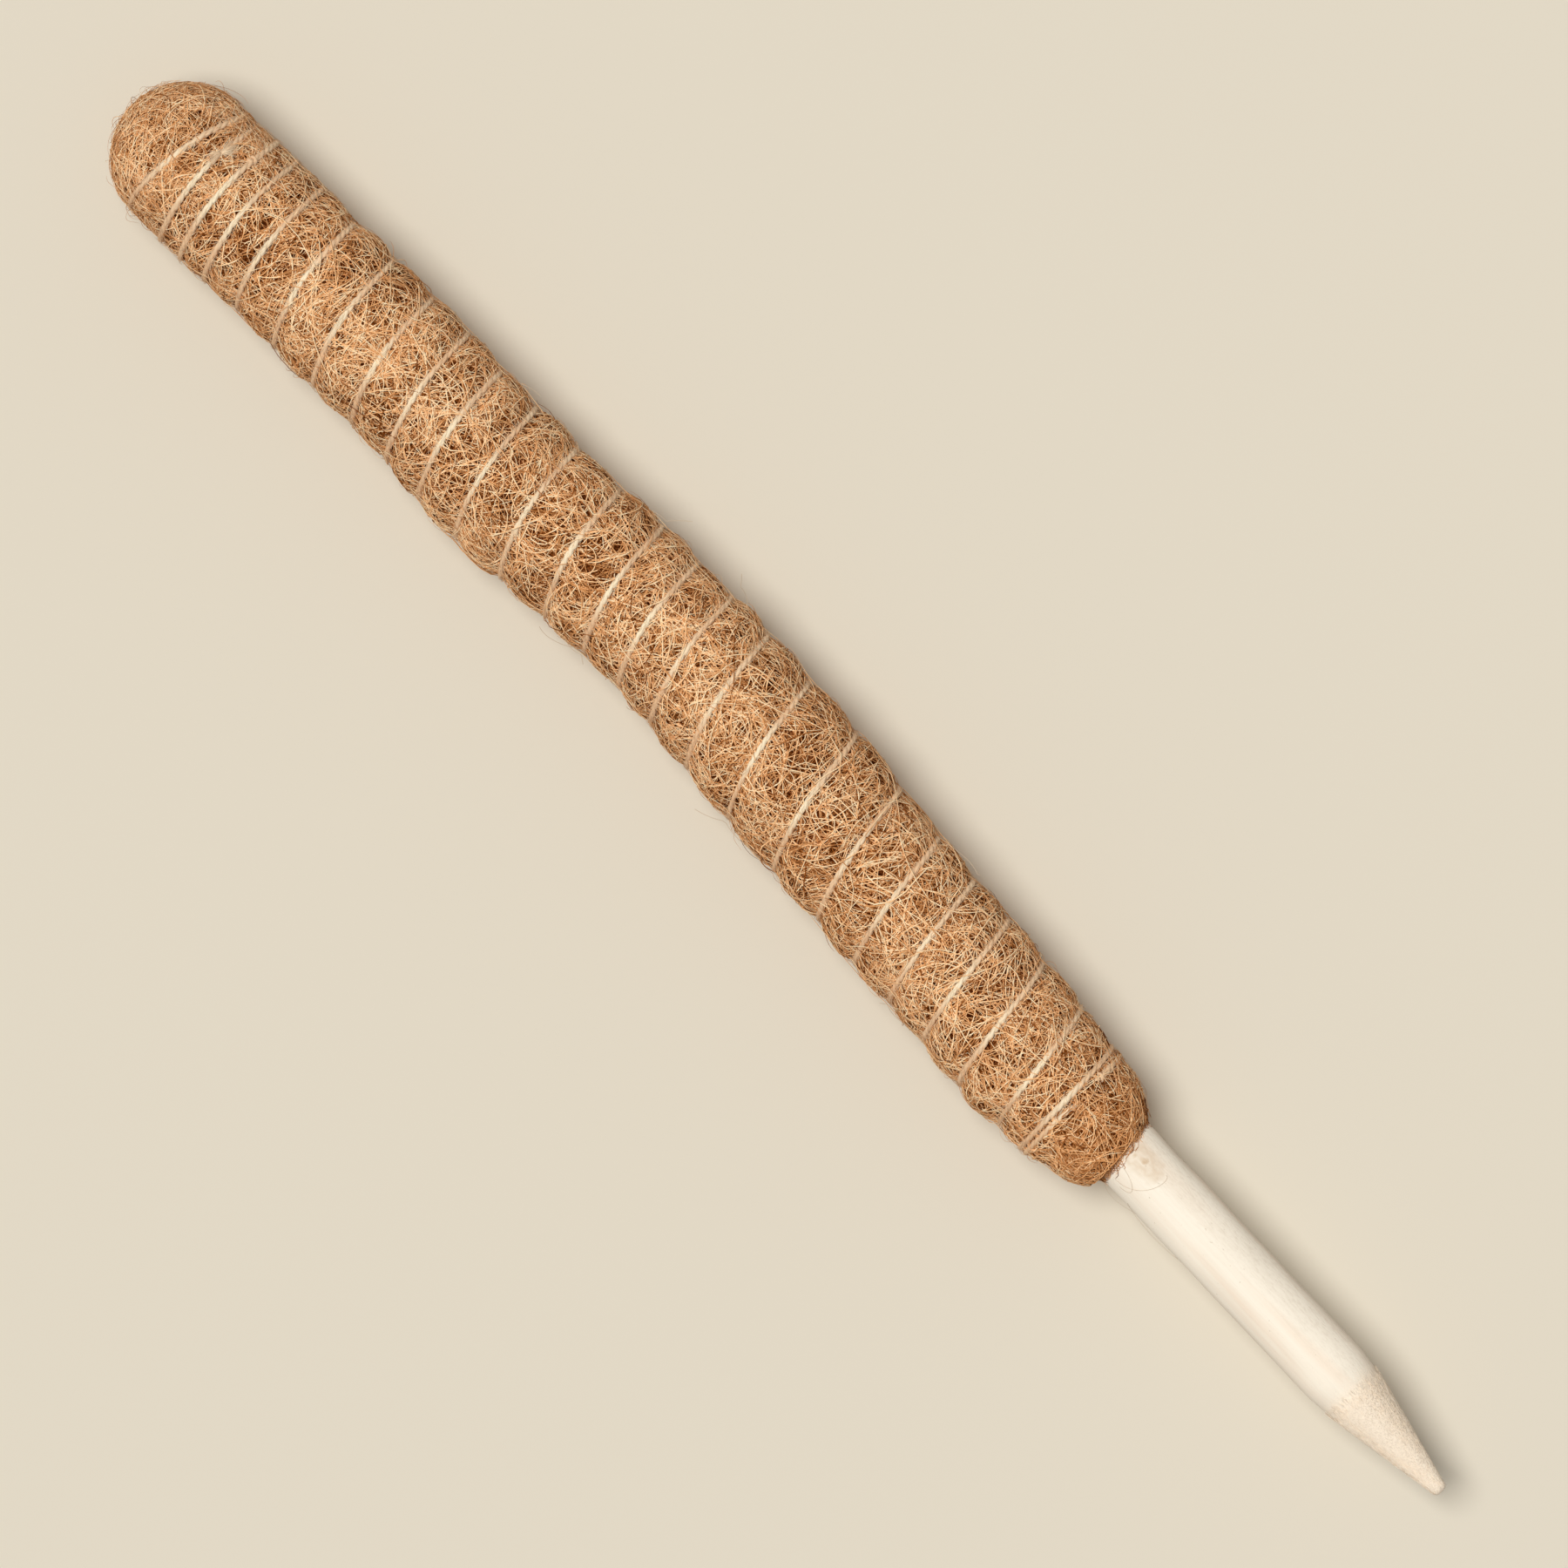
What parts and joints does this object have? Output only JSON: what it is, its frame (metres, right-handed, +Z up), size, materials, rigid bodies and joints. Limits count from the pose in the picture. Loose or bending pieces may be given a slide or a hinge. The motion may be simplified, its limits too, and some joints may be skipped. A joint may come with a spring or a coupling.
{
  "type": "moss pole",
  "caption": "Plant support pole: a pointed wooden stake wrapped in coir fibre mat with a domed coir top, bound with a spiral of jute twine, pushed into potting soil for climbing plants.",
  "frame": {"origin": "on the stake's axis at the soil line, where the coir ends and the bare stake begins", "axes": "+Z up the pole towards the dome, -Y towards the pictured side, +X to its right"},
  "size_m": [0.0367, 0.0339, 0.4],
  "materials": {
    "wood": "bare bleached softwood, dry and matt",
    "coir": "matted coconut fibre, golden brown",
    "deep_coir": "matted coconut fibre, darker inside",
    "jute": "soft two-ply jute twine, pale straw"
  },
  "bodies": {
    "root": {"stake": "wood", "inner_coir_wrap": "deep_coir", "outer_coir_wrap": "coir", "coir_top_cap": "coir", "binding_twine": "jute", "top_lashing": "jute", "end_knot": "jute", "top_knot": "jute", "lashing_knot": "jute"}
  },
  "joints": []
}
